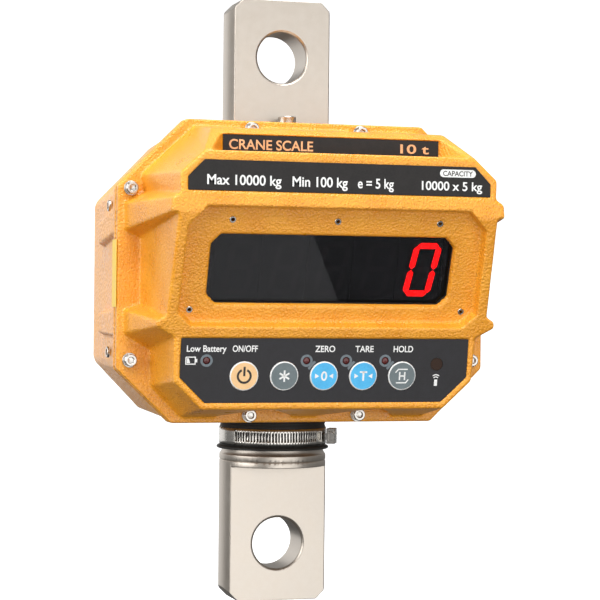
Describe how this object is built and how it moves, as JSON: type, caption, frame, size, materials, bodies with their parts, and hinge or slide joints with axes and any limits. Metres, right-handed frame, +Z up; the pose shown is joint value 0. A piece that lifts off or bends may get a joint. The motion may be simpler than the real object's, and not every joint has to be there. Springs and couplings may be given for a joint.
{
  "type": "crane scale",
  "caption": "Crane scale: flat steel load-cell bar with a shackle eye at each end, carrying a two-part faceted casing with a leaning display and a key panel.",
  "frame": {"origin": "centre of the upper eye's bore", "axes": "+Z up along the load line, -Y out of the display, +X to the right seen from the display"},
  "size_m": [0.2667, 0.246, 0.436],
  "materials": {
    "orange_coat": "textured hammer powder coat on cast metal",
    "nickel_steel": "matt nickel plate",
    "chromed_steel": "bright plate",
    "stainless_band": "bright stainless strip",
    "black_rubber": "matt",
    "black_plastic": "matt",
    "smoked_window": "smoked, polished",
    "digit_face": "matt black face with light segments",
    "circuit_board": "solder mask",
    "black_plate": "satin film",
    "panel_film": "fine-grained film",
    "key_orange": "printed film",
    "key_grey": "printed film",
    "key_blue": "printed film",
    "led_lens": "unlit lens",
    "infrared_window": "dark filter",
    "yellow_film": "blank seal sticker"
  },
  "bodies": {
    "root": {"load_cell": "nickel_steel", "gauge_sleeve": "black_plastic", "upper_seal": "black_rubber", "retaining_plate": "nickel_steel", "retaining_screw_1": "chromed_steel", "retaining_screw_2": "chromed_steel", "front_casing": "orange_coat", "rear_casing": "orange_coat", "casing_gasket": "black_rubber", "casing_screw_1": "chromed_steel", "casing_screw_2": "chromed_steel", "casing_screw_3": "chromed_steel", "casing_screw_4": "chromed_steel", "casing_screw_5": "chromed_steel", "casing_screw_6": "chromed_steel", "casing_screw_7": "chromed_steel", "casing_screw_8": "chromed_steel", "window_gasket": "black_rubber", "display_window": "smoked_window", "digit_module_1": "digit_face", "digit_module_2": "digit_face", "digit_module_3": "digit_face", "digit_module_4": "digit_face", "digit_module_5": "digit_face", "display_board": "circuit_board", "name_plate": "black_plate", "rating_plate": "black_plate", "seal_sticker": "yellow_film", "keypad_overlay": "panel_film", "led_low_battery": "led_lens", "led_zero": "led_lens", "led_tare": "led_lens", "led_hold": "led_lens", "remote_receiver": "infrared_window", "keypad_board": "circuit_board", "board_bracket": "nickel_steel", "main_board": "circuit_board", "battery": "black_plastic", "cell_cable": "black_rubber", "battery_door_seal": "black_rubber", "hinge_pin": "chromed_steel", "charger_socket": "chromed_steel", "rubber_boot": "black_rubber", "clamp_band": "stainless_band", "clamp_housing": "stainless_band"},
    "power_key": {"key_power": "key_orange"},
    "function_key": {"key_function": "key_grey"},
    "zero_key": {"key_zero": "key_blue"},
    "tare_key": {"key_tare": "key_blue"},
    "hold_key": {"key_hold": "key_grey"},
    "door": {"battery_door": "orange_coat"},
    "left_door_screw": {"door_screw_1": "chromed_steel"},
    "right_door_screw": {"door_screw_2": "chromed_steel"},
    "dust_cap": {"charger_cap": "black_rubber"},
    "band_screw": {"clamp_screw": "chromed_steel"}
  },
  "joints": [
    {"name": "power_key_press", "type": "slide", "parent": "root", "child": "power_key", "axis": [0, 0.9885, 0.1511], "range_m": [0, 0.0005], "stiffness_N_per_m": 3000},
    {"name": "function_key_press", "type": "slide", "parent": "root", "child": "function_key", "axis": [0, 0.9885, 0.1511], "range_m": [0, 0.0005], "stiffness_N_per_m": 3000},
    {"name": "zero_key_press", "type": "slide", "parent": "root", "child": "zero_key", "axis": [0, 0.9885, 0.1511], "range_m": [0, 0.0005], "stiffness_N_per_m": 3000},
    {"name": "tare_key_press", "type": "slide", "parent": "root", "child": "tare_key", "axis": [0, 0.9885, 0.1511], "range_m": [0, 0.0005], "stiffness_N_per_m": 3000},
    {"name": "hold_key_press", "type": "slide", "parent": "root", "child": "hold_key", "axis": [0, 0.9885, 0.1511], "range_m": [0, 0.0005], "stiffness_N_per_m": 3000},
    {"name": "door_hinge", "type": "hinge", "parent": "root", "child": "door", "pos_m": [0.072, 0.0742, -0.108], "axis": [1, 0, 0], "range_deg": [0, 110]},
    {"name": "left_door_screw_turn", "type": "hinge", "parent": "door", "child": "left_door_screw", "pos_m": [0.054, 0.076, -0.228], "axis": [0, 1, 0], "continuous": true},
    {"name": "right_door_screw_turn", "type": "hinge", "parent": "door", "child": "right_door_screw", "pos_m": [0.09, 0.076, -0.228], "axis": [0, 1, 0], "continuous": true},
    {"name": "dust_cap_turn", "type": "hinge", "parent": "root", "child": "dust_cap", "pos_m": [-0.082, 0.078, -0.194], "axis": [0, 1, 0], "continuous": true},
    {"name": "band_screw_turn", "type": "hinge", "parent": "root", "child": "band_screw", "pos_m": [0.03919, -0.01911, -0.275], "axis": [0.4384, 0.8988, 0], "continuous": true}
  ]
}
